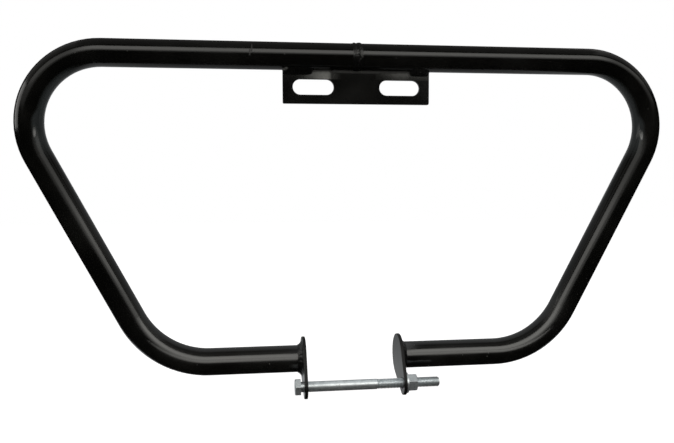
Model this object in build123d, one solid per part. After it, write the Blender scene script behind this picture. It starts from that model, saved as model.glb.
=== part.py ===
from build123d import *
import os
from math import asin, degrees, radians, sqrt, tan

# Engine guard for a motorcycle: a wide loop of bent steel tube, open at the bottom.
# +X runs along the top tube to the right, +Z is up, and -Y is the front of the guard.
# The origin is midway between the bracket's two slots, on the bracket's rear face.
# Lengths are in millimetres and angles in degrees.

# Tube loop, in two halves that meet above the bracket's middle, a little right of the loop's own
tube_diameter = 32.0
tube_wall = 2.4
top_length = 580.0
loop_offset = -1.5
upper_bend_radius = 80.0
upper_bend_angle = 117.6
leg_length = 212.0
lower_bend_radius = 100.0

# Bead round the butt joint of the two halves
joint_weld_width = 12.5
joint_weld_crown = 1.2

# Slotted bracket plate under the middle of the top run
bracket_length = 175.0
bracket_thickness = 5.0
bracket_depth = 39.0
bracket_corner_radius = 1.5
slot_length = 48.5
slot_width = 18.0
slot_spacing = 103.0
slot_depth = 19.5

# Weld stitches along the bracket's top edge, flush with its ends, in front and behind
left_stitch_length = 35.0
right_stitch_length = 24.0
stitch_leg = 6.0
stitch_crown = 0.8

# End tabs, each with a round lobe on the tube and a smaller one on the bolt
tab_gap = 112.5
tab_gap_offset = -6.75
tab_thickness = 4.0
tab_margin = 10.0
tab_bolt_lobe_radius = 14.0
tab_weld_leg = 6.0
tab_weld_hollow = 0.9
bolt_hole_clearance = 0.5

# Hex bolt across the gap between the tabs, with its washer and nut; its head stands off the left tab
bolt_forward = 30.0
bolt_drop = 26.0
bolt_diameter = 12.0
bolt_length = 165.0
bolt_head_gap = 4.0
bolt_thread_length = 75.0
bolt_thread_relief = 0.15
bolt_tip_chamfer = 1.2
bolt_head_height = 6.5
hex_across_flats = 18.0
hex_chamfer_angle = 30.0
head_turn = 15.0
nut_height = 10.8
nut_turn = -23.0
washer_diameter = 24.0
washer_bore_clearance = 0.5
washer_thickness = 2.5

# Places that follow from the sizes
tube_radius = tube_diameter / 2
tube_y = -bracket_thickness / 2
top_z = slot_depth + tube_radius
bracket_bottom = slot_depth - bracket_depth
stitch_length = {"left": left_stitch_length, "right": right_stitch_length}
tab_faces = {"left": tab_gap_offset - tab_gap / 2, "right": tab_gap_offset + tab_gap / 2}
outward = {"left": -1, "right": 1}
tab_backs = {side: tab_faces[side] + outward[side] * tab_thickness for side in outward}
bolt_radius = bolt_diameter / 2
thread_radius = bolt_radius - bolt_thread_relief


def half_path(side):
    """Centreline of one half, from the butt joint in the top run to the back of its end tab."""
    away = outward[side]
    plane = Plane((0, tube_y, top_z), x_dir=(away, 0, 0), z_dir=(0, -away, 0))
    top = Line((0, 0), (top_length / 2 + away * loop_offset, 0))
    upper = JernArc(top @ 1, top % 1, upper_bend_radius, -upper_bend_angle)
    leg = Line(upper @ 1, upper @ 1 + upper % 1 * leg_length)
    lower = JernArc(leg @ 1, leg % 1, lower_bend_radius, upper_bend_angle - 180)
    level = Line(lower @ 1, (away * tab_backs[side], (lower @ 1).Y))
    return plane * Wire([top, upper, leg, lower, level])


lower_z = (half_path("right") @ 1).Z
bolt_y = tube_y - bolt_forward
bolt_z = lower_z - bolt_drop


def tube_half(side):
    """Bent tube, hollow from the butt joint to the back of the end tab."""
    path = half_path(side)
    ring = Circle(tube_radius) - Circle(tube_radius - tube_wall)
    return sweep((path ^ 0) * ring, path=path)


def mount_bracket():
    """Flat plate with two long slots, its top edge coped to the underside of the tube."""
    height = top_z - bracket_bottom
    outline = Pos(0, bracket_bottom + height / 2) * Rectangle(bracket_length, height)
    outline = fillet(outline.vertices().group_by(Axis.Y)[0], bracket_corner_radius)
    for away in outward.values():
        outline -= Pos(away * slot_spacing / 2, 0) * SlotOverall(slot_length, slot_width)
    plate = extrude(Plane.XZ * outline, bracket_thickness)
    return plate - Pos(0, tube_y, top_z) * Rot(0, 90, 0) * Cylinder(tube_radius, bracket_length)


def turned_on_tube(section, centre):
    """Ring turned about a level tube from a section of places along it and radii."""
    plane = Plane(centre, x_dir=(1, 0, 0), z_dir=(0, -1, 0))
    return revolve(plane * section, Axis(centre, (1, 0, 0)))


def joint_weld(bracket):
    """Low round bead over the butt joint, stopping at the bracket's two faces."""
    left_toe = (-joint_weld_width / 2, tube_radius)
    right_toe = (joint_weld_width / 2, tube_radius)
    crown = SagittaArc(left_toe, right_toe, joint_weld_crown)
    section = make_face([crown, Line(right_toe, left_toe)])
    return turned_on_tube(section, (0, tube_y, top_z)) - bracket


def bracket_stitch(side, facing):
    """Weld stitch in the corner between the tube and the bracket's front or rear face."""
    root_angle = degrees(asin(bracket_thickness / 2 / tube_radius))
    toe_angle = degrees(asin((bracket_thickness / 2 + stitch_leg) / tube_radius))
    seat = CenterArc((0, 0), tube_radius, facing * root_angle - 90, facing * (toe_angle - root_angle))
    plate_leg = Line(seat @ 0, seat @ 0 - (0, stitch_leg))
    crown = SagittaArc(plate_leg @ 1, seat @ 1, -facing * stitch_crown)
    length = stitch_length[side]
    middle = outward[side] * (bracket_length - length) / 2
    section = Plane((middle, tube_y, top_z), x_dir=(0, 1, 0), z_dir=(1, 0, 0))
    return extrude(section * make_face([seat, plate_leg, crown]), length / 2, both=True)


def end_tab(side):
    """Egg-shaped plate that closes the tube's end and reaches down and forward to the bolt."""
    at_bolt = Pos(-bolt_forward, -bolt_drop)
    tube_lobe = Circle(tube_radius + tab_margin)
    bolt_lobe = at_bolt * Circle(tab_bolt_lobe_radius)
    outline = make_hull(tube_lobe.edges() + bolt_lobe.edges())
    outline -= at_bolt * Circle(bolt_radius + bolt_hole_clearance)
    face = Plane((tab_faces[side], tube_y, lower_z), x_dir=(0, 1, 0), z_dir=(1, 0, 0))
    return extrude(face * outline, outward[side] * tab_thickness)


def tab_weld(side):
    """Hollow fillet all round the tube where it meets the back of the end tab."""
    root = (0, tube_radius)
    tab_toe = (0, tube_radius + tab_weld_leg)
    tube_toe = (outward[side] * tab_weld_leg, tube_radius)
    hollow = SagittaArc(tab_toe, tube_toe, -outward[side] * tab_weld_hollow)
    section = make_face([Line(root, tab_toe), hollow, Line(tube_toe, root)])
    return turned_on_tube(section, (tab_backs[side], tube_y, lower_z))


def bolt_line(x, along=1):
    """Plane square to the bolt at a place along it, facing right, or left for -1."""
    return Plane((x, bolt_y, bolt_z), x_dir=(0, 1, 0), z_dir=(along, 0, 0))


def turned(outline):
    """Solid turned about the Z axis from an outline of radius and height."""
    return revolve(Plane.XZ * make_face(Polyline(*outline, close=True)), Axis.Z)


def hexagon(height, turn):
    """Hexagon prism on the XY plane with its top corners chamfered."""
    flat = hex_across_flats / 2
    corner = hex_across_flats / sqrt(3)
    chamfer_depth = (corner - flat) * tan(radians(hex_chamfer_angle))
    prism = extrude(Rot(0, 0, turn) * RegularPolygon(corner, 6), height)
    cone = turned([(0, 0), (corner, 0), (corner, height - chamfer_depth), (flat, height), (0, height)])
    return prism & cone


def cross_bolt():
    """Hex bolt with a plain shank, a threaded end as its outside diameter, and a chamfered tip."""
    thread_start = bolt_length - bolt_thread_length
    tip_radius = thread_radius - bolt_tip_chamfer
    shank = turned([
        (0, 0),
        (bolt_radius, 0),
        (bolt_radius, thread_start),
        (thread_radius, thread_start),
        (thread_radius, bolt_length - bolt_tip_chamfer),
        (tip_radius, bolt_length),
        (0, bolt_length),
    ])
    under_head = tab_backs["left"] - bolt_head_gap
    return bolt_line(under_head, -1) * hexagon(bolt_head_height, head_turn) + bolt_line(under_head) * shank


def nut_washer():
    """Flat round washer against the back of the right tab."""
    ring = Circle(washer_diameter / 2) - Circle(bolt_radius + washer_bore_clearance)
    return extrude(bolt_line(tab_backs["right"]) * ring, washer_thickness)


def bolt_nut():
    """Hex nut on the thread, chamfered at both ends and seated on the washer."""
    upper = hexagon(nut_height, nut_turn)
    lower = mirror(upper, Plane.XY.offset(nut_height / 2))
    nut = (upper & lower) - Pos(0, 0, nut_height / 2) * Cylinder(thread_radius, nut_height)
    return bolt_line(tab_backs["right"] + washer_thickness) * nut


bracket = mount_bracket()
parts = {
    "mount_bracket": bracket,
    "joint_weld": joint_weld(bracket),
    "cross_bolt": cross_bolt(),
    "nut_washer": nut_washer(),
    "bolt_nut": bolt_nut(),
}
for side in outward:
    parts[side + "_tube"] = tube_half(side)
    parts[side + "_end_tab"] = end_tab(side)
    parts[side + "_tab_weld"] = tab_weld(side)
    parts[side + "_front_stitch"] = bracket_stitch(side, -1)
    parts[side + "_rear_stitch"] = bracket_stitch(side, 1)

os.makedirs("parts", exist_ok=True)
for name, solid in parts.items():
    export_step(solid, f"parts/{name}.step")
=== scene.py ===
import math

import bmesh
import bpy
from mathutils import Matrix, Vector, noise


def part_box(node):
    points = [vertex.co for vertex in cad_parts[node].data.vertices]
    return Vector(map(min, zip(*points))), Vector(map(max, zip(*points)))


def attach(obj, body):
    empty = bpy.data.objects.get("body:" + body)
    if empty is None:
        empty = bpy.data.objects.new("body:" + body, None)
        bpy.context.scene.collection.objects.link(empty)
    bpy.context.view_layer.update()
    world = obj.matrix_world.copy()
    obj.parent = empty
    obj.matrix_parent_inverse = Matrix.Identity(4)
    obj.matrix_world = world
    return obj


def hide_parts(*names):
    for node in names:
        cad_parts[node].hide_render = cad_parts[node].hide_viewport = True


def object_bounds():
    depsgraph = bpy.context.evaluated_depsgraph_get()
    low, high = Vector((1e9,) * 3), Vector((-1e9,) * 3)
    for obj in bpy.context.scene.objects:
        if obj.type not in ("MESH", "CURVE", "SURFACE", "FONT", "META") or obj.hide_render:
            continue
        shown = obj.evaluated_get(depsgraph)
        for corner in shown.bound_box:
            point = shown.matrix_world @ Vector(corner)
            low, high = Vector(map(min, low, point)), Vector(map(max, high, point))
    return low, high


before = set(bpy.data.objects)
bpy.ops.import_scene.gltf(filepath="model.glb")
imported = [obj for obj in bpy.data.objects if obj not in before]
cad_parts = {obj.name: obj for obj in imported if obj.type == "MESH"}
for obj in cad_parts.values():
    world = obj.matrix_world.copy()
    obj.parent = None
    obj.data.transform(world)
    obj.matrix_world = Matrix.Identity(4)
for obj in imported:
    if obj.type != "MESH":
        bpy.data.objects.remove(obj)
cad_low, cad_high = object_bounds()

# Tube loop: two bent halves of steel tube, butted in the middle of the top run.
# The guard is sprayed gloss black after welding. The paint has a fine orange peel and a few dust nibs, is
# thin on the upper bends and thick on the lower runs, and has a scuff on the top run.
# A pale bluish painted reflection lies inside the upper bends.
mm = 0.001
tube_low, tube_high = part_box("left_tube")
tube_radius = (tube_high.y - tube_low.y) / 2
tube_y = (tube_high.y + tube_low.y) / 2
top_z = tube_high.z - tube_radius
lower_z = tube_low.z + tube_radius
paint_black = (0.0011, 0.0011, 0.0009, 1.0)
paint_haze = (0.0032, 0.0031, 0.0027, 1.0)
paint_dust = (0.030, 0.029, 0.026, 1.0)
paint_ior = 1.5
paint_dullness = (0.13, 0.2)
dull_range = (0.3, 0.75)
peel_size = 3.2 * mm
peel_depth = 0.012 * mm
peel_detail = 1.5
haze_size = 60.0 * mm
haze_detail = 3.0
haze_range = (0.35, 0.7)
nib_spacing = 9.0 * mm
nib_depth = 0.05 * mm
nib_free = 0.62
nib_rim = 0.09
nib_core = 0.03
nib_dullness = 0.25
scuff_colour = (0.014, 0.013, 0.013, 1.0)
scuff_dullness = 0.45
scuff_width = 1.2 * mm
scuff_core = 0.2 * scuff_width
scuff_fade = 1.5 * mm
upper_stroke = ((-123.3 * mm, 36.7 * mm), (-122.8 * mm, 47.5 * mm))
lower_stroke = ((-125.5 * mm, 32.1 * mm), (-125.2 * mm, 41.5 * mm))
spray_middle = -3.0 * mm
plain_gloss = 0.5
thick_gloss = 0.85
thick_dullness = 0.05
thick_head = 110.0 * mm
thick_foot = 30.0 * mm
thin_gloss = 0.42
thin_side = 40.0 * mm
thin_head = -40.0 * mm
thin_foot = -240.0 * mm
bend_x = 290.0 * mm
bend_z = -44.5 * mm
bend_radius = 80.0 * mm
# Painted reflection: a pale bluish colour inside the upper bends stands in for light reflected there.
painted_reflection_colour = (0.016, 0.018, 0.0185, 1.0)
painted_reflection_edge = 10.5 * mm
painted_reflection_fade = 4.0 * mm
painted_reflection_widening = 4.0 * mm
painted_reflection_growth = (18.0 * mm, 2.0 * mm)
painted_reflection_side = (15.0 * mm, 45.0 * mm)
painted_reflection_foot = (-45.0 * mm, -15.0 * mm)
wet_start = (69.3 * mm, -9.5 * mm)
wet_reach = (1.9 * mm, 8.5 * mm)
wet_gloss = 1.8


def add(material, kind, inputs=None, **settings):
    """New node in a material, with its settings, and its inputs as values or other nodes' outputs."""
    node = material.node_tree.nodes.new("ShaderNode" + kind)
    for name, value in settings.items():
        setattr(node, name, value)
    for name, value in (inputs or {}).items():
        if isinstance(value, bpy.types.NodeSocket):
            material.node_tree.links.new(value, node.inputs[name])
        else:
            node.inputs[name].default_value = value
    return node


def blank(name):
    """New material with a plain shader, and the place on the piece that its patterns read."""
    material = bpy.data.materials.new(name)
    material.use_nodes = True
    coords = add(material, "TexCoord").outputs["Object"]
    return material, material.node_tree.nodes["Principled BSDF"], coords


def speckle(material, coords, scale, detail):
    """Cloudy pattern from 0 to 1, at a scale in cells per metre."""
    return add(material, "TexNoise", {"Vector": coords, "Scale": scale, "Detail": detail}).outputs["Fac"]


def ramp(material, value, start, end, low=0.0, high=1.0):
    """Smooth step of a value from low at start to high at end."""
    inputs = {"Value": value, "From Min": start, "From Max": end, "To Min": low, "To Max": high}
    return add(material, "MapRange", inputs, interpolation_type="SMOOTHSTEP").outputs["Result"]


def maths(material, operation, first, second=0.0):
    """Sum, product or other operation on two values, or on one."""
    return add(material, "Math", {0: first, 1: second}, operation=operation).outputs["Value"]


def times(material, *values):
    """Product of several values."""
    product = values[0]
    for value in values[1:]:
        product = maths(material, "MULTIPLY", product, value)
    return product


def oval_spot(material, place, middle, reach, level):
    """Soft oval spot round a place on the piece, which fades from its level to nothing at its rim."""
    offset = [maths(material, "SUBTRACT", *pair) for pair in zip(place, middle)]
    share = [maths(material, "POWER", maths(material, "DIVIDE", *pair), 2.0) for pair in zip(offset, reach)]
    return ramp(material, maths(material, "ADD", *share), 1.0, 0.0, 0.0, level)


def tint(material, under, over, amount):
    """Colour laid over another by an amount from 0 to 1; 6, 7 and 2 are a mix node's colour sockets."""
    return add(material, "Mix", {0: amount, 6: under, 7: over}, data_type="RGBA").outputs[2]


def gloss_paint(name, dullness=paint_dullness):
    """Black paint with orange peel, nibs and cloudy haze; gives back its colour too, to lay marks on."""
    paint, shader, coords = blank(name)
    links = paint.node_tree.links
    peel = speckle(paint, coords, 1 / peel_size, peel_detail)
    cloud = speckle(paint, coords, 1 / haze_size, haze_detail)
    nibs = add(paint, "TexVoronoi", {"Vector": coords, "Scale": 1 / nib_spacing}).outputs
    chosen = maths(paint, "GREATER_THAN", nibs["Color"], nib_free)
    spot = times(paint, ramp(paint, nibs["Distance"], nib_rim, nib_core), chosen)
    colour = tint(paint, paint_black, paint_haze, ramp(paint, cloud, *haze_range))
    colour = tint(paint, colour, paint_dust, spot)
    links.new(colour, shader.inputs["Base Color"])
    dull = ramp(paint, cloud, *dull_range, *dullness)
    dull = maths(paint, "ADD", dull, times(paint, spot, nib_dullness))
    links.new(dull, shader.inputs["Roughness"])
    skin = add(paint, "Bump", {"Strength": 1.0, "Distance": peel_depth, "Height": peel})
    speck = {"Strength": 1.0, "Distance": nib_depth, "Height": spot, "Normal": skin.outputs["Normal"]}
    links.new(add(paint, "Bump", speck).outputs["Normal"], shader.inputs["Normal"])
    shader.inputs["IOR"].default_value = paint_ior
    return paint, shader, coords, colour


def scuff_stroke(paint, place, stroke):
    """One short stroke of the scuff, on the front of the top run, from its foot to its top."""
    foot, top = stroke
    slope = (top[0] - foot[0]) / (top[1] - foot[1])
    lean = times(paint, maths(paint, "SUBTRACT", place["Z"], foot[1]), slope)
    offset = maths(paint, "SUBTRACT", maths(paint, "SUBTRACT", place["X"], foot[0]), lean)
    line = ramp(paint, maths(paint, "ABSOLUTE", offset), scuff_width, scuff_core)
    front = maths(paint, "LESS_THAN", place["Y"], tube_y)
    above = ramp(paint, place["Z"], foot[1], foot[1] + scuff_fade)
    below = ramp(paint, place["Z"], top[1], top[1] - scuff_fade)
    return times(paint, line, front, above, below)


def bend_painted_reflection(paint, past_bend, above_bend):
    """Cover of the painted reflection inside the upper bends, a pale bluish band, which widens downwards and
    fades at both ends.
    """
    squares = [maths(paint, "POWER", part, 2.0) for part in (past_bend, above_bend)]
    reach = maths(paint, "SQRT", maths(paint, "ADD", *squares))
    depth = maths(paint, "SUBTRACT", bend_radius, reach)
    depth = maths(paint, "ADD", depth, ramp(paint, above_bend, *painted_reflection_growth, 0.0, painted_reflection_widening))
    inside = ramp(paint, depth, painted_reflection_edge, painted_reflection_edge + painted_reflection_fade)
    return times(paint, inside, ramp(paint, past_bend, *painted_reflection_side), ramp(paint, above_bend, *painted_reflection_foot))


def loop_paint(name):
    """Gloss paint with the scuff and the painted reflection inside the upper bends, thin on the upper bends,
    with a wet spot at the top of each leg, and thick low down."""
    paint, shader, coords, colour = gloss_paint(name)
    links = paint.node_tree.links
    place = add(paint, "SeparateXYZ", {"Vector": coords}).outputs
    aside = maths(paint, "ABSOLUTE", maths(paint, "SUBTRACT", place["X"], spray_middle))
    past_bend = maths(paint, "SUBTRACT", aside, bend_x)
    above_bend = maths(paint, "SUBTRACT", place["Z"], bend_z)
    # Painted reflection: a pale bluish tint inside the upper bends stands in for light reflected there.
    colour = tint(paint, colour, painted_reflection_colour, bend_painted_reflection(paint, past_bend, above_bend))
    strokes = [scuff_stroke(paint, place, stroke) for stroke in (upper_stroke, lower_stroke)]
    mark = maths(paint, "MAXIMUM", *strokes)
    links.new(tint(paint, colour, scuff_colour, mark), shader.inputs["Base Color"])
    low = ramp(paint, place["Z"], lower_z + thick_head, lower_z + thick_foot)
    dull = shader.inputs["Roughness"].links[0].from_socket
    dull = maths(paint, "ADD", dull, times(paint, mark, scuff_dullness))
    dull = maths(paint, "ADD", dull, times(paint, low, thick_dullness))
    links.new(dull, shader.inputs["Roughness"])
    bend = times(
        paint, ramp(paint, past_bend, 0.0, thin_side), ramp(paint, place["Z"], thin_foot, thin_head))
    thick = ramp(paint, low, 0.0, 1.0, plain_gloss, thick_gloss)
    coat = times(paint, thick, ramp(paint, bend, 0.0, 1.0, 1.0, thin_gloss))
    wet = oval_spot(paint, (past_bend, above_bend), wet_start, wet_reach, wet_gloss)
    links.new(maths(paint, "MAXIMUM", coat, wet), shader.inputs["Specular IOR Level"])
    return paint


tube_paint = loop_paint("tube_black_paint")
for tube in ("left_tube", "right_tube"):
    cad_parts[tube].data.materials.clear()
    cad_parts[tube].data.materials.append(tube_paint)

# Butt weld: one hand-run bead round the joint of the two halves, painted over.
# It was laid in two passes, a straight one on the left and a weaving one on the right, so it has two
# low ridges, and it stops at the bracket plate.
plate_low, plate_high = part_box("mount_bracket")
joint_low, joint_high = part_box("joint_weld")
joint_crown = joint_high.z - tube_high.z
joint_half_width = (joint_high.x - joint_low.x) / 2
joint_steps_round = 288
joint_steps_across = 80
joint_pitch = 2.8 * mm
joint_ripple = 0.12 * mm
joint_ripple_middle = 0.5
joint_valley = 0.25
joint_ridge = 0.9
joint_toe_power = 6
joint_sway = 0.2
joint_sway_size = 5.0 * mm
straight_pass = -3.6 * mm
weave_pass = 0.9 * mm
weave_reach = 3.3 * mm
weave_pitch = 11.0 * mm
weave_turn = -22.4 * mm
pass_width = 1.0 * mm
ripple_lag = 0.45
ripple_wander = 0.35
weld_dullness = (0.3, 0.4)
weld_paint = gloss_paint("weld_black_paint", weld_dullness)[0]
plate_smooth = 35
bead_smooth = 60


def only(piece):
    """Selects one object alone and makes it active."""
    bpy.ops.object.select_all(action="DESELECT")
    piece.select_set(True)
    bpy.context.view_layer.objects.active = piece


def edit(piece, choose="SELECT"):
    """Opens a piece in edit mode with all of it selected, or none."""
    only(piece)
    bpy.ops.object.mode_set(mode="EDIT")
    bpy.ops.mesh.select_all(action=choose)


def close_edit():
    """Goes back from edit mode."""
    bpy.ops.object.mode_set(mode="OBJECT")


def pick_faces(piece, wanted):
    """Selects, in edit mode, the faces whose centre passes a test."""
    bpy.ops.mesh.select_mode(type="FACE")
    for face in bmesh.from_edit_mesh(piece.data).faces:
        face.select_set(wanted(face.calc_center_median()))
    bmesh.update_edit_mesh(piece.data)


def settle(piece, name, nodes, paint, smooth=plate_smooth):
    """Fixes a piece's place in its mesh, gives it its finish and sets it on the frame for its nodes."""
    only(piece)
    bpy.ops.object.transform_apply(location=True, rotation=True, scale=True)
    bpy.ops.object.shade_smooth_by_angle(angle=math.radians(smooth))
    piece.name = name
    piece.data.name = name
    piece.data.materials.clear()
    piece.data.materials.append(paint)
    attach(piece, "root")
    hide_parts(*nodes)


def lapped(along, across, pitch, drift):
    """Height from 0 to 1 of a hand-run bead's lapped ripples, which bow back towards its edges."""
    return abs(math.sin(math.pi * (along / pitch + ripple_wander * drift + ripple_lag * across * across)))


bpy.ops.object.select_all(action="DESELECT")
bpy.ops.mesh.primitive_torus_add(
    major_segments=joint_steps_round, minor_segments=joint_steps_across,
    major_radius=tube_radius, minor_radius=joint_crown,
    rotation=(0, math.radians(90), 0), location=(0, tube_y, top_z))
joint_bead = bpy.context.active_object
bpy.ops.object.transform_apply(location=True, rotation=True, scale=True)
for vertex in joint_bead.data.vertices:
    across = vertex.co.x / joint_crown
    place = across * joint_half_width
    arm = Vector((vertex.co.y - tube_y, vertex.co.z - top_z))
    turns = (math.atan2(arm.x, arm.y) * tube_radius - weave_turn) / weave_pitch
    swing = 2 * abs(turns - round(turns))
    ridges = (straight_pass, weave_pass + weave_reach * swing)
    ridge = max(math.exp(-((place - middle) / pass_width) ** 2) for middle in ridges)
    if arm.length > tube_radius:
        rise = (joint_valley + (joint_ridge - joint_valley) * ridge) * (1 - across ** joint_toe_power)
        arm *= (tube_radius + rise * joint_crown) / arm.length
    sway = noise.noise(Vector((across, arm.x / joint_sway_size, arm.y / joint_sway_size)))
    vertex.co = (place * (1 - joint_sway * abs(sway)), tube_y + arm.x, top_z + arm.y)
joint_bead.data.update()
normals = [vertex.normal.copy() for vertex in joint_bead.data.vertices]
for vertex, normal in zip(joint_bead.data.vertices, normals):
    along = math.atan2(vertex.co.y - tube_y, vertex.co.z - top_z) * tube_radius
    across = max(-1.0, min(1.0, vertex.co.x / joint_half_width))
    drift = noise.noise(Vector((along / joint_pitch / 2, 0, 0)))
    rise = lapped(along, across, joint_pitch, drift) - joint_ripple_middle
    vertex.co += normal * joint_ripple * rise * max(0.0, 1 - across * across)
joint_bead.data.update()
edit(joint_bead)
pick_faces(joint_bead, lambda spot: plate_low.y < spot.y < plate_high.y and spot.z < top_z)
bpy.ops.mesh.delete(type="FACE")
bpy.ops.mesh.select_all(action="SELECT")
bpy.ops.mesh.fill_holes(sides=0)
close_edit()
settle(joint_bead, "joint_bead", ["joint_weld"], weld_paint, smooth=bead_smooth)

# Mounting bracket: a flat steel plate with two long punched slots, welded under the top run.
# Its edges are eased, and painted highlights, pale and duller paint in the corner below the tube and above
# the slots, stand in for light caught by the front face.
edge_round = 0.7 * mm
round_steps = 3
sharp_edge = 29
flat_face = 0.5
copy_merge = 0.002 * mm
cope_margin = 0.5 * mm
face_margin = 0.1 * mm
# Painted highlight: pale grey patches above the slots and a pale line below the tube stand in for light on
# the plate's face.
painted_highlight_colour = (0.105, 0.105, 0.098, 1.0)
painted_highlight_dullness = 0.4
painted_highlight_grain = 2.2 * mm
painted_highlight_detail = 4.0
painted_highlight_range = (0.3, 0.65)
painted_highlight_mottle = 0.75
painted_highlight_foot = 8.5 * mm
painted_highlight_foot_fade = 1.5 * mm
painted_highlight_head = 19.5 * mm
painted_highlight_head_fade = 4.0 * mm
painted_highlight_head_cover = 0.2
left_highlight_start = -83.0 * mm
left_highlight_peak = -35.0 * mm
left_highlight_end = -29.0 * mm
left_highlight_end_cover = 0.14
left_highlight_fade = 12.0 * mm
right_highlight_start = 24.0 * mm
right_highlight_peak = 58.0 * mm
right_highlight_end = 66.0 * mm
right_highlight_cover = (0.06, 0.48)
right_highlight_end_cover = 0.4
right_highlight_fade = 2.0 * mm
right_highlight_low = painted_highlight_foot + 2.0 * mm
right_highlight_high = painted_highlight_foot + 8.0 * mm
right_highlight_low_cover = 0.45
corner_highlight = 0.16
corner_highlight_foot = painted_highlight_head - 4.0 * mm
corner_highlight_head = painted_highlight_head - 2.0 * mm


def merged_copy(node):
    """Copy of a CAD node with its loose triangles merged and its flat faces made whole."""
    piece = bpy.data.objects.new(node + "_piece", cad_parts[node].data.copy())
    bpy.context.scene.collection.objects.link(piece)
    only(piece)
    bpy.ops.mesh.customdata_custom_splitnormals_clear()
    edit(piece)
    bpy.ops.mesh.remove_doubles(threshold=copy_merge)
    bpy.ops.mesh.dissolve_limited(angle_limit=math.radians(flat_face))
    close_edit()
    return piece


def round_edges(piece, width, wanted=lambda start, end: True):
    """Rounds the sharp edges whose two ends pass a test."""
    edit(piece, "DESELECT")
    bpy.ops.mesh.select_mode(type="EDGE")
    bpy.ops.mesh.edges_select_sharp(sharpness=math.radians(sharp_edge))
    for edge in bmesh.from_edit_mesh(piece.data).edges:
        if edge.select and not wanted(edge.verts[0].co, edge.verts[1].co):
            edge.select_set(False)
    bpy.ops.mesh.bevel(offset=width, segments=round_steps, affect="EDGES", clamp_overlap=True)
    close_edit()


def flat_shading(piece):
    """Keeps the flat faces flat beside their rounded edges."""
    only(piece)
    piece.modifiers.new("even", "WEIGHTED_NORMAL").keep_sharp = True
    bpy.ops.object.modifier_apply(modifier="even")


def bracket_paint(name):
    """Gloss paint with painted highlights on the front face, pale patches above the slots and a pale line in
    the corner.
    """
    paint, shader, coords, colour = gloss_paint(name)
    links = paint.node_tree.links
    place = add(paint, "SeparateXYZ", {"Vector": coords}).outputs
    across, up = place["X"], place["Z"]
    left = times(
        paint,
        maths(paint, "POWER", ramp(paint, across, left_highlight_start, left_highlight_peak), 2.0),
        ramp(paint, across, left_highlight_end, left_highlight_peak, left_highlight_end_cover, 1.0),
        ramp(paint, across, left_highlight_end + left_highlight_fade, left_highlight_end))
    right = times(
        paint,
        ramp(paint, across, right_highlight_start, right_highlight_peak, *right_highlight_cover),
        ramp(paint, across, right_highlight_start - right_highlight_fade, right_highlight_start),
        ramp(paint, across, right_highlight_peak, right_highlight_end, 1.0, right_highlight_end_cover),
        ramp(paint, up, right_highlight_low, right_highlight_high, right_highlight_low_cover, 1.0))
    body = times(
        paint,
        ramp(paint, up, painted_highlight_foot, painted_highlight_foot + painted_highlight_foot_fade),
        ramp(paint, up, painted_highlight_head, painted_highlight_head - painted_highlight_head_fade, painted_highlight_head_cover, 1.0))
    cover = times(paint, maths(paint, "ADD", left, right), body)
    corner = ramp(paint, up, corner_highlight_foot, corner_highlight_head, 0.0, corner_highlight)
    cover = maths(paint, "MAXIMUM", cover, corner)
    front = maths(paint, "LESS_THAN", place["Y"], plate_low.y + face_margin)
    grain = speckle(paint, coords, 1 / painted_highlight_grain, painted_highlight_detail)
    mottle = ramp(paint, grain, *painted_highlight_range, painted_highlight_mottle, 1.0)
    # Painted highlight: pale grey laid on the front face where light would catch it.
    highlight_cover = times(paint, cover, times(paint, front, mottle))
    links.new(tint(paint, colour, painted_highlight_colour, highlight_cover), shader.inputs["Base Color"])
    dull = shader.inputs["Roughness"].links[0].from_socket
    dull = maths(paint, "ADD", dull, times(paint, highlight_cover, painted_highlight_dullness))
    links.new(dull, shader.inputs["Roughness"])
    return paint


bracket = merged_copy("mount_bracket")
cope_line = top_z - tube_radius - cope_margin
round_edges(bracket, edge_round, lambda start, end: max(start.z, end.z) < cope_line)
plate_paint = bracket_paint("bracket_black_paint")
settle(bracket, "bracket_plate", ["mount_bracket"], plate_paint)
flat_shading(bracket)

# Bracket stitches: four short hand-run fillet welds in the corners between the plate and the tube,
# two in front and two behind, flush with the plate's ends and painted over with the rest.
# A painted glint, a pale grey spot, lies on the start of the left front one.
stitch_steps_along = 140
stitch_steps_across = 14
stitch_crown = 0.5 * mm
stitch_pitch = 3.6 * mm
stitch_ripple = 0.7 * mm
ripple_middle = 0.6
stitch_end = 5.0 * mm
stitch_end_height = 0.35
toe_wander = 0.7 * mm
tube_toe_size = 5.0 * mm
plate_toe_size = 6.0 * mm
plate_toe_seed = 9
seam_merge = 0.01 * mm
# Painted glint: a pale grey spot on the weld's start stands in for light caught there.
glint_spot_centre = (-85.4 * mm, 20.5 * mm)
glint_spot_reach = (4.6 * mm, 2.8 * mm)
glint_spot_cover = 0.6
glint_spot_range = (0.35, 0.6)
glint_spot_mottle = 0.3


def stitch_paint(name):
    """Dull gloss paint with a painted glint, a pale grey spot, on the start of the left front stitch."""
    paint, shader, coords, colour = gloss_paint(name, weld_dullness)
    place = add(paint, "SeparateXYZ", {"Vector": coords}).outputs
    # Painted glint: pale grey laid where the stitch's end would catch the light.
    spot = oval_spot(paint, (place["X"], place["Z"]), glint_spot_centre, glint_spot_reach, glint_spot_cover)
    front = maths(paint, "LESS_THAN", place["Y"], plate_low.y)
    grain = speckle(paint, coords, 1 / painted_highlight_grain, painted_highlight_detail)
    spot = times(paint, spot, front, ramp(paint, grain, *glint_spot_range, glint_spot_mottle, 1.0))
    paint.node_tree.links.new(tint(paint, colour, painted_highlight_colour, spot), shader.inputs["Base Color"])
    return paint


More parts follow.
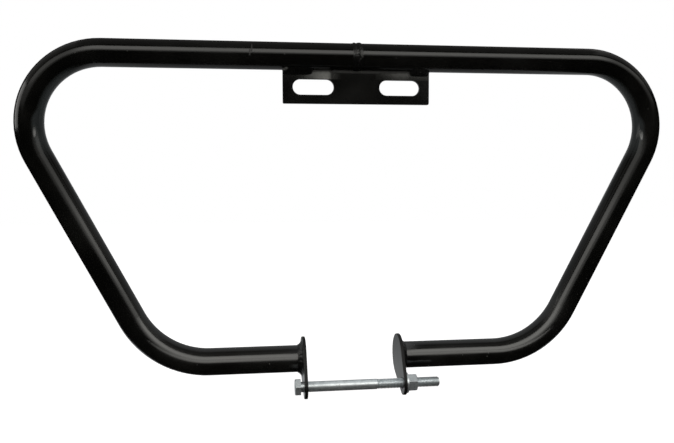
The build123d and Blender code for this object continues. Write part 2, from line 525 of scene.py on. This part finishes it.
def close_to_root(piece, seat):
    """Closes a weld's open skin: its rim is drawn in to the hidden root of the corner and merged there."""
    edit(piece, "DESELECT")
    bpy.ops.mesh.select_mode(type="VERT")
    bpy.ops.mesh.select_non_manifold()
    bpy.ops.mesh.extrude_edges_move(TRANSFORM_OT_translate={"value": (0, 0, 0)})
    for vertex in bmesh.from_edit_mesh(piece.data).verts:
        if vertex.select:
            vertex.co = seat(vertex.co)
    bpy.ops.mesh.select_all(action="SELECT")
    bpy.ops.mesh.remove_doubles(threshold=seam_merge)
    bpy.ops.mesh.normals_make_consistent(inside=False)
    close_edit()


def bracket_stitch(node, facing):
    """One stitch, laid as a grid over the corner and closed behind; facing is -1 in front and 1 behind."""
    low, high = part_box(node)
    plate_y = plate_low.y if facing < 0 else plate_high.y
    plate_toe = Vector((plate_y, low.z))
    root = Vector((plate_y, top_z - math.sqrt(tube_radius ** 2 - (plate_y - tube_y) ** 2)))
    toe_angle = math.asin((high.y - tube_y if facing > 0 else tube_y - low.y) / tube_radius)
    length = high.x - low.x
    bpy.ops.object.select_all(action="DESELECT")
    bpy.ops.mesh.primitive_grid_add(
        x_subdivisions=stitch_steps_along, y_subdivisions=stitch_steps_across, size=1)
    stitch = bpy.context.active_object
    for vertex in stitch.data.vertices:
        along = (vertex.co.x + 0.5) * length
        across = 2 * vertex.co.y
        bulge = 1 - across * across
        sway = noise.noise(Vector((low.x + along, facing, 0)) / tube_toe_size)
        angle = toe_angle - abs(sway) * toe_wander / tube_radius
        toe = (tube_y + facing * tube_radius * math.sin(angle), top_z - tube_radius * math.cos(angle))
        tube_toe = Vector(toe)
        lift = noise.noise(Vector((along, plate_toe_seed, facing)) / plate_toe_size)
        foot = plate_toe + Vector((0, abs(lift) * toe_wander))
        skin = foot.lerp(tube_toe, vertex.co.y + 0.5)
        out = Vector((tube_toe.y - foot.y, foot.x - tube_toe.x)).normalized() * facing
        drift = noise.noise(Vector((along / stitch_pitch / 2, low.x, facing)))
        lap = lapped(along, across, stitch_pitch, drift)
        skin += out * bulge * (stitch_crown + stitch_ripple * (lap - ripple_middle))
        close = 1 - min(1.0, min(along, length - along) / stitch_end)
        height = stitch_end_height + (1 - stitch_end_height) * math.sqrt(max(0.0, 1 - close * close))
        skin = root.lerp(skin, height)
        vertex.co = (low.x + along, skin.x, skin.y)
    stitch.data.update()
    close_to_root(stitch, lambda spot: Vector((spot.x, root.x, root.y)))
    settle(stitch, node + "_bead", [node], stitch_glint_paint, smooth=bead_smooth)


stitch_glint_paint = stitch_paint("stitch_black_paint")
for end in ("left", "right"):
    bracket_stitch(end + "_front_stitch", -1)
    bracket_stitch(end + "_rear_stitch", 1)

# End tabs: egg-shaped steel plates cut to shape that close the lower tube ends and take the bolt.
# Their sawn edges are eased but still rough, so the paint looks dull there.
tab_round = 0.8 * mm
sawn_dullness = (0.5, 0.6)
sawn_gloss = 0.3
sawn_lean = 0.6
tab_paint = gloss_paint("tab_black_paint")[0]
sawn_paint, sawn_shader = gloss_paint("sawn_edge_paint", sawn_dullness)[:2]
sawn_shader.inputs["Specular IOR Level"].default_value = sawn_gloss
for end in ("left", "right"):
    tab = merged_copy(end + "_end_tab")
    round_edges(tab, tab_round)
    settle(tab, end + "_tab_plate", [end + "_end_tab"], tab_paint)
    flat_shading(tab)
    tab.data.materials.append(sawn_paint)
    for face in tab.data.polygons:
        face.material_index = int(abs(face.normal.x) < sawn_lean)

# Tab welds: one hollow fillet all round each tube where it meets the back of its tab.
# They are run by hand in one go, so the ripples follow the tube round.
fillet_steps_round = 240
fillet_rings = 11
fillet_hollow = 0.9 * mm
fillet_pitch = 4.6 * mm
fillet_ripple = 0.55 * mm
fillet_shrink = 0.14
fillet_noise_ring = 1.6
shrink_pace = 2
drift_pace = 3


def tab_fillet(node, outward):
    """One fillet, from a cone's bare side; outward is -1 on the left and 1 on the right."""
    low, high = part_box(node)
    back = high.x if outward < 0 else low.x
    leg = high.x - low.x
    bpy.ops.object.select_all(action="DESELECT")
    bpy.ops.mesh.primitive_cone_add(
        vertices=fillet_steps_round, radius1=tube_radius + leg, radius2=tube_radius, depth=leg,
        end_fill_type="NOTHING", rotation=(0, outward * math.radians(90), 0),
        location=((low.x + high.x) / 2, tube_y, lower_z))
    fillet = bpy.context.active_object
    bpy.ops.object.transform_apply(location=True, rotation=True, scale=True)
    edit(fillet, "DESELECT")
    bpy.ops.mesh.select_mode(type="EDGE")
    for edge in bmesh.from_edit_mesh(fillet.data).edges:
        edge.select_set(abs(edge.verts[0].co.x - edge.verts[1].co.x) > leg / 2)
    bpy.ops.mesh.subdivide_edgering(number_cuts=fillet_rings, interpolation="LINEAR")
    close_edit()
    for vertex in fillet.data.vertices:
        arm = Vector((vertex.co.y - tube_y, vertex.co.z - lower_z))
        angle = math.atan2(arm.x, arm.y)
        across = 2 * (arm.length - tube_radius) / leg - 1
        bulge = 1 - across * across
        turn = Vector((math.sin(angle), math.cos(angle), outward)) * fillet_noise_ring
        sway = noise.noise(turn * shrink_pace + Vector((0, 0, across)))
        shrink = 1 - fillet_shrink * abs(sway)
        lap = lapped(angle * tube_radius, across, fillet_pitch, noise.noise(turn * drift_pace))
        sink = (fillet_ripple * (lap - ripple_middle) - fillet_hollow) * bulge / math.sqrt(2)
        rise = max(0.0, (arm.length - tube_radius) * shrink + sink)
        reach = max(0.0, abs(vertex.co.x - back) * shrink + sink)
        vertex.co.x = back + outward * reach
        vertex.co.y = tube_y + math.sin(angle) * (tube_radius + rise)
        vertex.co.z = lower_z + math.cos(angle) * (tube_radius + rise)
    fillet.data.update()

    def at_root(spot):
        """Nearest place on the ring where the tube meets the tab."""
        arm = Vector((spot.y - tube_y, spot.z - lower_z)).normalized() * tube_radius
        return Vector((back, tube_y + arm.x, lower_z + arm.y))

    close_to_root(fillet, at_root)
    settle(fillet, node + "_bead", [node], weld_paint, smooth=bead_smooth)


tab_fillet("left_tab_weld", -1)
tab_fillet("right_tab_weld", 1)

# Cross bolt: a long M12 hex bolt, forged, with a rolled thread on its end, zinc plated.
# It goes through both tabs from the left and ties them across the open gap.
bolt_low, bolt_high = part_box("cross_bolt")
bolt_y = (bolt_low.y + bolt_high.y) / 2
bolt_z = (bolt_low.z + bolt_high.z) / 2
thread_length = 75.0 * mm
thread_start = bolt_high.x - thread_length
thread_radius = 5.85 * mm
thread_root = 4.95 * mm
thread_pitch = 1.75 * mm
thread_flat = 0.22 * mm
thread_steps = 40
thread_lead = 0.3 * mm
shank_trim = 0.1 * mm
spare_turns = 2
tip_chamfer = 1.2 * mm
cut_margin = 0.0001 * mm
hex_round = 0.35 * mm
hex_corner_length = 3.0 * mm
hex_corner_margin = 2.0 * mm
zinc_pale = (0.74, 0.78, 0.80, 1.0)
zinc_dull = (0.60, 0.64, 0.66, 1.0)
zinc_metal = 0.92
zinc_cloud = 7.0 * mm
zinc_cloud_detail = 3.0
zinc_pale_range = (0.35, 0.6)
zinc_gloss_range = (0.3, 0.7)
zinc_dullness = (0.46, 0.36)
zinc_grain = 0.5 * mm
zinc_grain_detail = 2.0
zinc_grain_depth = 0.01 * mm
zinc_grime = (0.24, 0.24, 0.23, 1.0)
grime_scale = 2.3 / zinc_cloud
grime_detail = 4.0
grime_range = (0.62, 0.75)
grime_cover = 0.6


def zinc_plate(name):
    """Bright zinc plate with cloudy passivation, fine grain and a little grime."""
    zinc, shader, coords = blank(name)
    links = zinc.node_tree.links
    cloud = speckle(zinc, coords, 1 / zinc_cloud, zinc_cloud_detail)
    grain = speckle(zinc, coords, 1 / zinc_grain, zinc_grain_detail)
    fleck = speckle(zinc, coords, grime_scale, grime_detail)
    plated = tint(zinc, zinc_dull, zinc_pale, ramp(zinc, cloud, *zinc_pale_range))
    grime = ramp(zinc, fleck, *grime_range, 0.0, grime_cover)
    links.new(tint(zinc, plated, zinc_grime, grime), shader.inputs["Base Color"])
    links.new(ramp(zinc, cloud, *zinc_gloss_range, *zinc_dullness), shader.inputs["Roughness"])
    skin = add(zinc, "Bump", {"Strength": 1.0, "Distance": zinc_grain_depth, "Height": grain})
    links.new(skin.outputs["Normal"], shader.inputs["Normal"])
    shader.inputs["Metallic"].default_value = zinc_metal
    return zinc


def cut_away(piece, x, side):
    """Cuts a piece square to the bolt, drops what lies beyond on one side, and closes the cut."""
    edit(piece)
    bpy.ops.mesh.bisect(
        plane_co=(x, 0, 0), plane_no=(side, 0, 0), use_fill=True, clear_outer=True, threshold=cut_margin)
    close_edit()


def hex_corner(start, end):
    """Whether an edge is one of a hexagon's long corners, which run along the bolt."""
    arm = math.hypot(start.y - bolt_y, start.z - bolt_z)
    return abs(start.x - end.x) > hex_corner_length and arm > thread_radius + hex_corner_margin


zinc = zinc_plate("bright_zinc")
bolt = merged_copy("cross_bolt")
cut_away(bolt, thread_start - shank_trim, 1)
round_edges(bolt, hex_round, hex_corner)

bpy.ops.object.select_all(action="DESELECT")
bpy.ops.mesh.primitive_plane_add(size=thread_pitch, location=(0, bolt_y, bolt_z))
thread = bpy.context.active_object
flank = (thread_pitch - 2 * thread_flat) / 2
depth = thread_radius - thread_root
bpy.ops.object.mode_set(mode="EDIT")
bpy.ops.mesh.select_mode(type="VERT")
bpy.ops.mesh.select_all(action="SELECT")
bpy.ops.mesh.merge(type="CENTER")
bpy.ops.transform.translate(value=(thread_start - spare_turns * thread_pitch, 0, thread_root))
for step, rise in ((thread_flat, 0), (flank, depth), (thread_flat, 0), (flank, -depth)):
    bpy.ops.mesh.extrude_vertices_move(TRANSFORM_OT_translate={"value": (step, 0, rise)})
close_edit()
winding = thread.modifiers.new("winding", "SCREW")
winding.axis = "X"
winding.screw_offset = thread_pitch
winding.iterations = math.ceil((bolt_high.x - thread_start) / thread_pitch) + 2 * spare_turns
winding.steps = thread_steps
winding.render_steps = thread_steps
winding.use_merge_vertices = True
winding.merge_threshold = seam_merge
only(thread)
bpy.ops.object.modifier_apply(modifier="winding")
bpy.ops.object.transform_apply(location=True, rotation=True, scale=True)
edit(thread)
bpy.ops.mesh.remove_doubles(threshold=seam_merge)
close_edit()
cut_away(thread, thread_start - thread_lead, -1)
cut_away(thread, bolt_high.x, 1)
for vertex in thread.data.vertices:
    arm = Vector((vertex.co.y - bolt_y, vertex.co.z - bolt_z))
    limit = thread_radius - tip_chamfer + (bolt_high.x - vertex.co.x)
    if arm.length > limit:
        arm *= limit / arm.length
        vertex.co.y = bolt_y + arm.x
        vertex.co.z = bolt_z + arm.y
thread.data.update()
edit(thread)
bpy.ops.mesh.normals_make_consistent(inside=False)
close_edit()
bpy.ops.object.select_all(action="DESELECT")
thread.select_set(True)
bolt.select_set(True)
bpy.context.view_layer.objects.active = bolt
bpy.ops.object.join()
settle(bolt, "hex_bolt", ["cross_bolt"], zinc)
flat_shading(bolt)

# Washer and nut: a punched flat washer and an M12 hex nut, both zinc plated.
# They clamp the bolt on the outside of the right tab.
washer_round = 0.3 * mm
washer = merged_copy("nut_washer")
round_edges(washer, washer_round)
settle(washer, "flat_washer", ["nut_washer"], zinc)
flat_shading(washer)
nut = merged_copy("bolt_nut")
round_edges(nut, hex_round, hex_corner)
settle(nut, "hex_nut", ["bolt_nut"], zinc)
flat_shading(nut)

# Floor: a plain pale sheet well below the guard, which stands for the white of the photograph.
# The camera and reflections see it lifted to white, and it still takes the guard's faint shadow.
floor_drop = 340.0 * mm
floor_size = 16.0
floor_pale = (0.8, 0.8, 0.8, 1.0)
white = (1.0, 1.0, 1.0, 1.0)
near_guard = 0.7
far_off = 1.6
near_lift = 0.5
far_lift = 0.8


def bare(name):
    """New material with no nodes yet."""
    material = bpy.data.materials.new(name)
    material.use_nodes = True
    material.node_tree.nodes.clear()
    return material


def seen_rays(owner):
    """1 for what the camera and reflections see of a floor or a sky, 0 for the light it gives."""
    rays = add(owner, "LightPath").outputs
    seen = maths(owner, "ADD", rays["Is Camera Ray"], rays["Is Glossy Ray"])
    return maths(owner, "ADD", seen, rays["Is Transmission Ray"])


bpy.ops.object.select_all(action="DESELECT")
bpy.ops.mesh.primitive_plane_add(size=floor_size, location=(0, 0, cad_low.z - floor_drop))
floor = bpy.context.active_object
floor.name = "floor"
floor_white = bare("floor_white")
floor_place = add(floor_white, "TexCoord").outputs["Object"]
spread = add(floor_white, "VectorMath", {0: floor_place}, operation="LENGTH").outputs["Value"]
lift = ramp(floor_white, spread, near_guard, far_off, near_lift, far_lift)
strength = times(floor_white, seen_rays(floor_white), lift)
matt = add(floor_white, "BsdfDiffuse", {"Color": floor_pale})
glow = add(floor_white, "Emission", {"Color": white, "Strength": strength})
both = add(floor_white, "AddShader", {0: matt.outputs[0], 1: glow.outputs[0]})
add(floor_white, "OutputMaterial", {"Surface": both.outputs[0]})
floor.data.materials.append(floor_white)

# Sky: the plain white of the studio all round.
# The camera and reflections see it as white, and it gives a soft even light.
sky_light = 0.35
world = bpy.data.worlds.new("studio")
bpy.context.scene.world = world
world.use_nodes = True
world.node_tree.nodes.clear()
level = ramp(world, seen_rays(world), 0.0, 1.0, sky_light, 1.0)
sky = add(world, "Background", {"Color": white, "Strength": level})
add(world, "OutputWorld", {"Surface": sky.outputs[0]})

# Dark tent: black cloth all round the guard, which only its reflections show.
# It gives the gloss paint the deep black of the photograph between the lights.
tent_low = Vector((-5.0, -5.4, -0.66))
tent_high = Vector((5.0, 1.4, 3.6))
cloth_black = (0.008, 0.008, 0.008, 1.0)


def gloss_only(piece):
    """Marks a piece of the studio that only reflections show."""
    piece.visible_camera = False
    piece.visible_diffuse = False
    piece.visible_shadow = False
    piece.visible_transmission = False


bpy.ops.object.select_all(action="DESELECT")
bpy.ops.mesh.primitive_cube_add(size=1, location=(tent_low + tent_high) / 2, scale=tent_high - tent_low)
tent = bpy.context.active_object
tent.name = "dark_tent"
cloth = bare("tent_cloth")
matt = add(cloth, "BsdfDiffuse", {"Color": cloth_black})
add(cloth, "OutputMaterial", {"Surface": matt.outputs[0]})
tent.data.materials.append(cloth)
gloss_only(tent)

# Pale board: a card close behind the loop, which lights the inner rims of the tubes by reflection.
# It is brighter low down, for the face of the right tab, and at its ends, for the upper bends.
board_low = Vector((-0.36, 0.08, -0.42))
board_high = Vector((0.36, 0.08, 0.03))
board_tone = (0.96, 0.99, 1.0, 1.0)
board_level = 0.27
board_low_level = 0.42
board_low_range = (-0.31, -0.38)
board_end_gain = 1.8
board_end_range = (0.24, 0.34)
bpy.ops.object.select_all(action="DESELECT")
bpy.ops.mesh.primitive_plane_add(
    size=1, rotation=(math.radians(90), 0, 0), location=(board_low + board_high) / 2)
board = bpy.context.active_object
board.name = "pale_board"
board.scale = (board_high.x - board_low.x, board_high.z - board_low.z, 1)
bpy.ops.object.transform_apply(location=True, rotation=True, scale=True)
card = bare("board_card")
card_place = add(card, "SeparateXYZ", {"Vector": add(card, "TexCoord").outputs["Object"]}).outputs
card_level = ramp(card, card_place["Z"], *board_low_range, board_level, board_low_level)
card_gain = ramp(card, maths(card, "ABSOLUTE", card_place["X"]), *board_end_range, 1.0, board_end_gain)
glow = add(card, "Emission", {"Color": board_tone, "Strength": times(card, card_level, card_gain)})
add(card, "OutputMaterial", {"Surface": glow.outputs[0]})
board.data.materials.append(card)
gloss_only(board)

# Bolt card: a small white card over the cross bolt, which glows from its underside alone.
# It brightens the upper side of the zinc, and is so small that the tubes hardly show it.
bolt_card_centre = (0.02, -0.03, -0.2)
bolt_card_size = (0.15, 0.24, 1)
bolt_card_tone = (0.97, 1.0, 1.0, 1.0)
bolt_card_level = 0.6
bpy.ops.object.select_all(action="DESELECT")
bpy.ops.mesh.primitive_plane_add(size=1, location=bolt_card_centre)
bolt_card = bpy.context.active_object
bolt_card.name = "bolt_card"
bolt_card.scale = bolt_card_size
white_card = bare("white_card")
underside = add(white_card, "NewGeometry").outputs["Backfacing"]
glow = add(white_card, "Emission", {"Color": bolt_card_tone, "Strength": bolt_card_level})
clear = add(white_card, "BsdfTransparent")
one_side = add(white_card, "MixShader", {0: underside, 1: clear.outputs[0], 2: glow.outputs[0]})
add(white_card, "OutputMaterial", {"Surface": one_side.outputs[0]})
bolt_card.data.materials.append(white_card)
gloss_only(bolt_card)

# Lamps: soft boxes hung flat over the front, where they draw the long streaks on the tubes.
# Dim ones straight above tone the tubes' upper sides, and one on the left lights the left bend's rim.
# One hung low in front broadens the streak on the low runs, and lights the tubes alone.
ceiling = 1.03
warm_white = (1.0, 0.99, 0.94)
soft_white = (1.0, 0.99, 0.96)


def softbox(name, place, wide, deep, radiance, colour, aim=None):
    """Flat soft lamp of a given radiance, facing straight down or towards a point."""
    lamp = bpy.data.lights.new(name, "AREA")
    lamp.shape = "RECTANGLE"
    lamp.size = wide
    lamp.size_y = deep
    lamp.energy = radiance * math.pi * wide * deep
    lamp.color = colour
    holder = bpy.data.objects.new(name, lamp)
    bpy.context.scene.collection.objects.link(holder)
    holder.location = place
    if aim:
        holder.rotation_euler = (Vector(aim) - Vector(place)).to_track_quat("-Z", "Y").to_euler()
    holder.visible_camera = False
    return holder


softbox("ceiling_light", (0.2, -1.8, ceiling), wide=5.0, deep=1.7, radiance=1.3, colour=warm_white)
softbox("ceiling_wash", (0, -2.95, ceiling + 0.02), wide=9.0, deep=4.0, radiance=0.8, colour=warm_white)
softbox("overhead_wash", (0, 0.25, ceiling + 0.03), wide=6.0, deep=1.7, radiance=0.1, colour=soft_white)
softbox("left_wash", (-2.0, 0.25, ceiling + 0.04), wide=2.4, deep=1.7, radiance=0.22, colour=soft_white)
softbox("right_wash", (2.1, 0.25, ceiling + 0.04), wide=2.4, deep=1.7, radiance=0.22, colour=soft_white)
softbox(
    "side_light", (-1.6, 0.1, 0.28), wide=0.9, deep=0.65, radiance=2.6, colour=soft_white,
    aim=(-0.37, 0, -0.05))
low_light = softbox(
    "low_light", (0.08, -0.2675, -0.29), wide=0.7, deep=0.365, radiance=1.5, colour=warm_white)
low_lit = bpy.data.collections.new("low_lit")
for tube in ("left_tube", "right_tube"):
    low_lit.objects.link(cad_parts[tube])
low_light.light_linking.receiver_collection = low_lit

# Camera: a plain pinhole camera, fitted to the edges of the tubes in the photograph.
# It stands left of the guard's middle and a little above it, and looks slightly down.
photo_width = 674
focal_pixels = 700
sensor_width = 36.0
nearest = 0.01
farthest = 50
camera_place = (-133.45 * mm, -830.76 * mm, -103.35 * mm)
camera_turn = (86.215, 0.159, -7.556)
camera = bpy.data.cameras.new("photo_camera")
camera.sensor_fit = "HORIZONTAL"
camera.sensor_width = sensor_width
camera.lens = focal_pixels * sensor_width / photo_width
camera.clip_start = nearest
camera.clip_end = farthest
view = bpy.data.objects.new("photo_camera", camera)
bpy.context.scene.collection.objects.link(view)
view.location = camera_place
view.rotation_euler = [math.radians(angle) for angle in camera_turn]
bpy.context.scene.camera = view
bpy.context.scene.view_settings.view_transform = "Standard"
